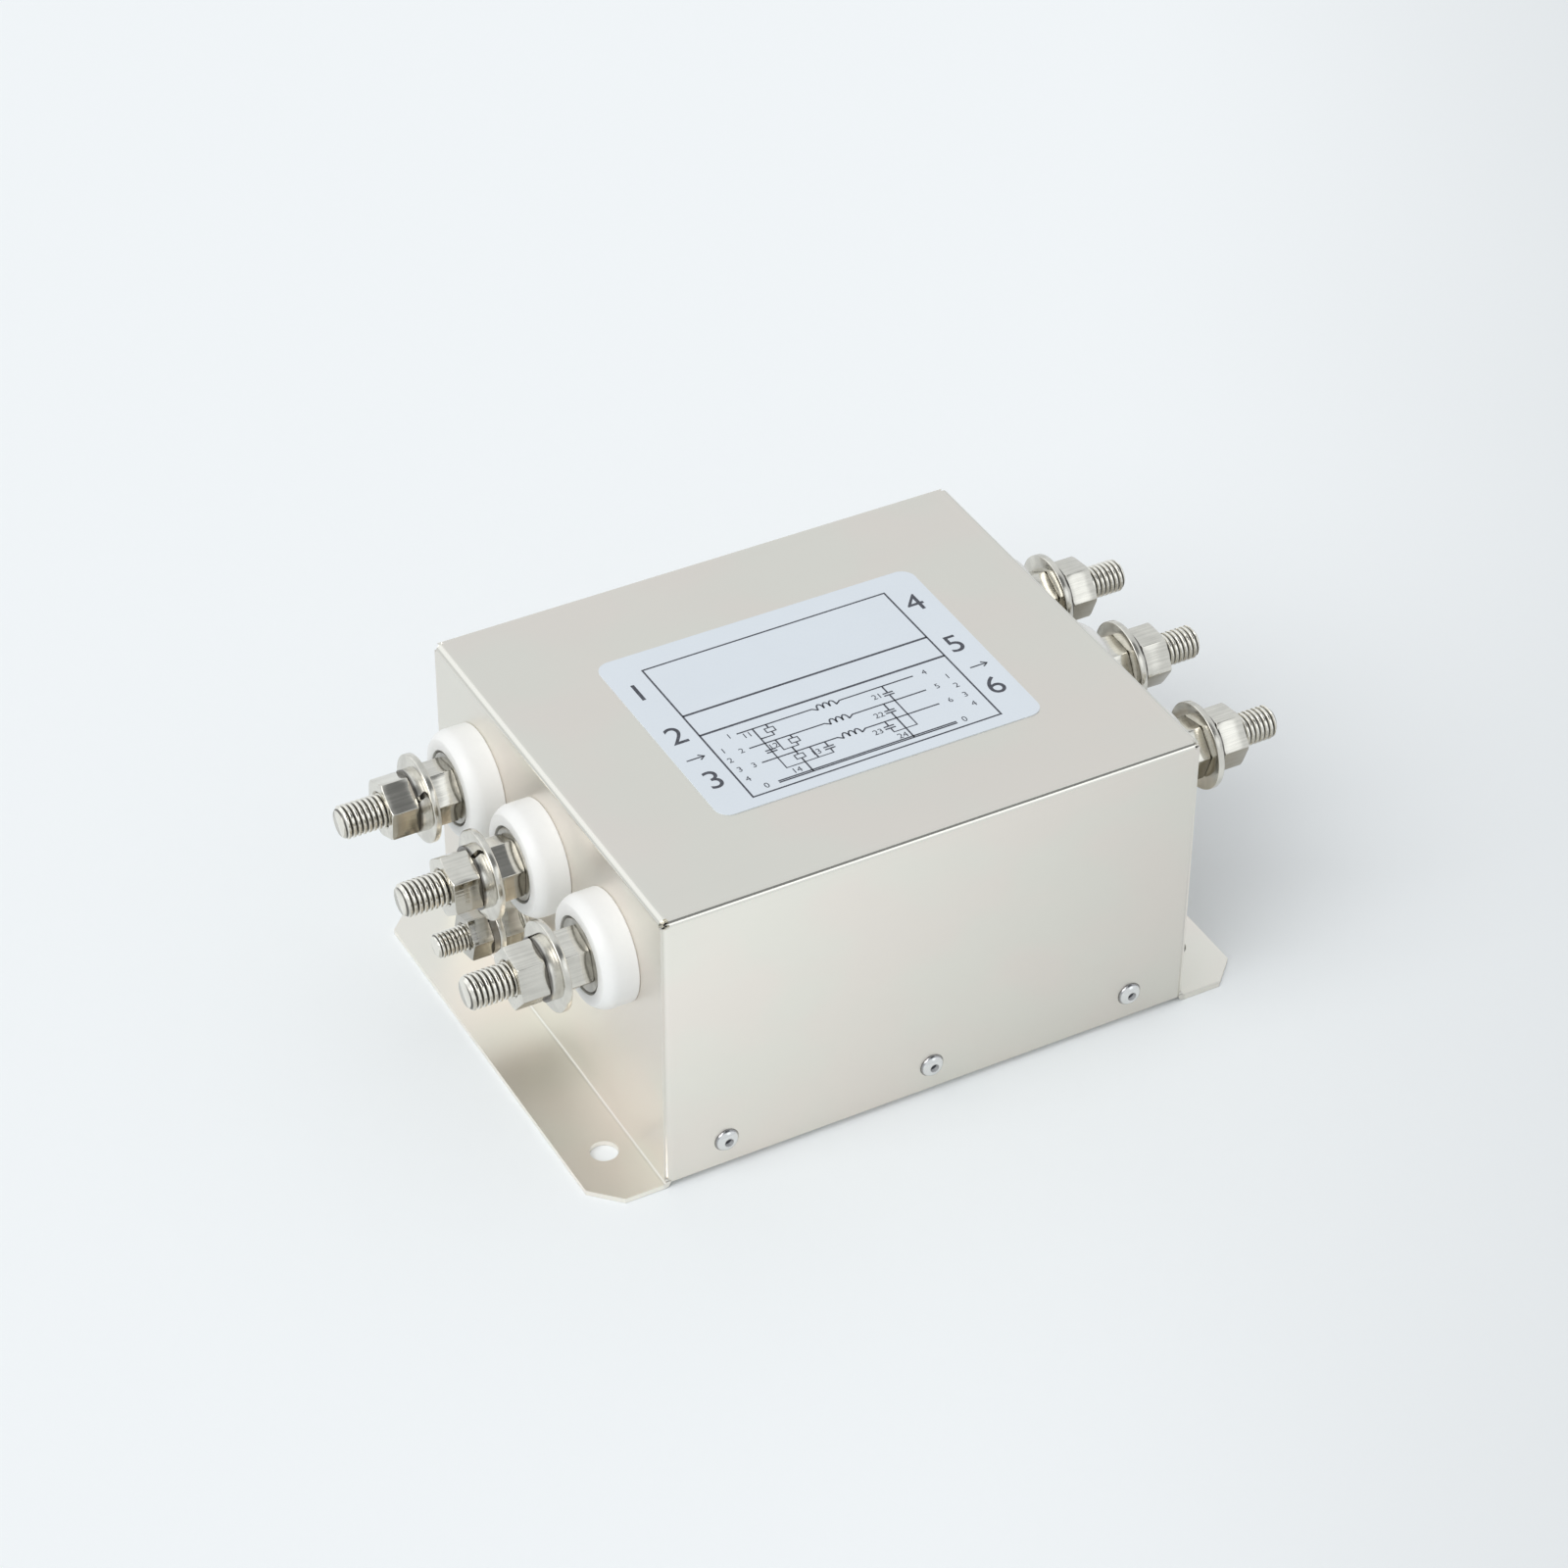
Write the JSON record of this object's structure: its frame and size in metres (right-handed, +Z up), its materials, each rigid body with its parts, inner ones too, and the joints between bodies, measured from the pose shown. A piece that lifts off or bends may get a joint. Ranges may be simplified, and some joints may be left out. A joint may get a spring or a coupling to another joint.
{
  "type": "emi line filter",
  "caption": "Folded steel case with bolt-down flanges, insulated stud terminals and an earth bolt at each end, and a wound choke with capacitor boards inside.",
  "frame": {"origin": "middle of the case's footprint, on the surface that it is bolted to", "axes": "+X from the input end to the output end, +Y to the back wall, +Z up away from the mounting surface"},
  "size_m": [0.2046, 0.1166, 0.0752],
  "materials": {
    "case_steel": "satin nickel plate on folded sheet steel",
    "rivet_aluminium": "bright rivet head",
    "label_film": "satin pale blue-grey film with dark print",
    "white_insulator": "moulded white thermoset, slight gloss",
    "stud_nickel": "bright nickel plate",
    "nut_nickel": "bright nickel plate",
    "washer_nickel": "bright nickel plate",
    "spring_steel": "plated spring steel",
    "tinned_lug": "tin plate",
    "copper_strap": "bare copper strap",
    "lacquered_copper": "lacquered copper wire",
    "core_alloy": "wound alloy ribbon",
    "core_case_plastic": "black moulding",
    "rubber_pad": "matt",
    "clamp_plastic": "laminate disc",
    "plated_steel": "zinc plate",
    "post_brass": "turned brass",
    "board_laminate": "green solder resist",
    "capacitor_box": "yellow moulded case",
    "y_capacitor_box": "blue moulded case",
    "resistor_body": "grey-blue lacquer"
  },
  "bodies": {
    "root": {"board_in": "board_laminate", "board_out": "board_laminate", "board_posts": "post_brass", "board_screws": "plated_steel", "bottom_tray": "case_steel", "choke_clamp_disc": "clamp_plastic", "choke_core": "core_alloy", "choke_nut": "plated_steel", "choke_pad": "rubber_pad", "choke_post": "plated_steel", "clamp_nuts": "nut_nickel", "core_case_cup": "core_case_plastic", "core_case_lid": "core_case_plastic", "cover": "case_steel", "discharge_resistors": "resistor_body", "earth_bolt_in": "stud_nickel", "earth_bolt_out": "stud_nickel", "earth_clamp_nuts": "nut_nickel", "earth_flat_washers": "washer_nickel", "earth_seat_nuts": "nut_nickel", "earth_seat_washers": "washer_nickel", "earth_spring_washers": "spring_steel", "earth_strap_in": "copper_strap", "earth_strap_out": "copper_strap", "flat_washers": "washer_nickel", "inner_bushes": "white_insulator", "inner_nuts": "nut_nickel", "inner_washers": "washer_nickel", "insulator_in_1": "white_insulator", "insulator_in_2": "white_insulator", "insulator_in_3": "white_insulator", "insulator_out_1": "white_insulator", "insulator_out_2": "white_insulator", "insulator_out_3": "white_insulator", "label": "label_film", "ring_lugs": "tinned_lug", "rivets": "rivet_aluminium", "seat_nuts": "nut_nickel", "seat_washers": "washer_nickel", "spring_washers": "spring_steel", "terminal_stud_in_1": "stud_nickel", "terminal_stud_in_2": "stud_nickel", "terminal_stud_in_3": "stud_nickel", "terminal_stud_out_1": "stud_nickel", "terminal_stud_out_2": "stud_nickel", "terminal_stud_out_3": "stud_nickel", "winding_1": "lacquered_copper", "winding_2": "lacquered_copper", "winding_3": "lacquered_copper", "x_capacitor_in_1": "capacitor_box", "x_capacitor_in_2": "capacitor_box", "x_capacitor_in_3": "capacitor_box", "x_capacitor_out_1": "capacitor_box", "x_capacitor_out_2": "capacitor_box", "x_capacitor_out_3": "capacitor_box", "y_capacitor_in": "y_capacitor_box", "y_capacitor_out": "y_capacitor_box"}
  },
  "joints": []
}
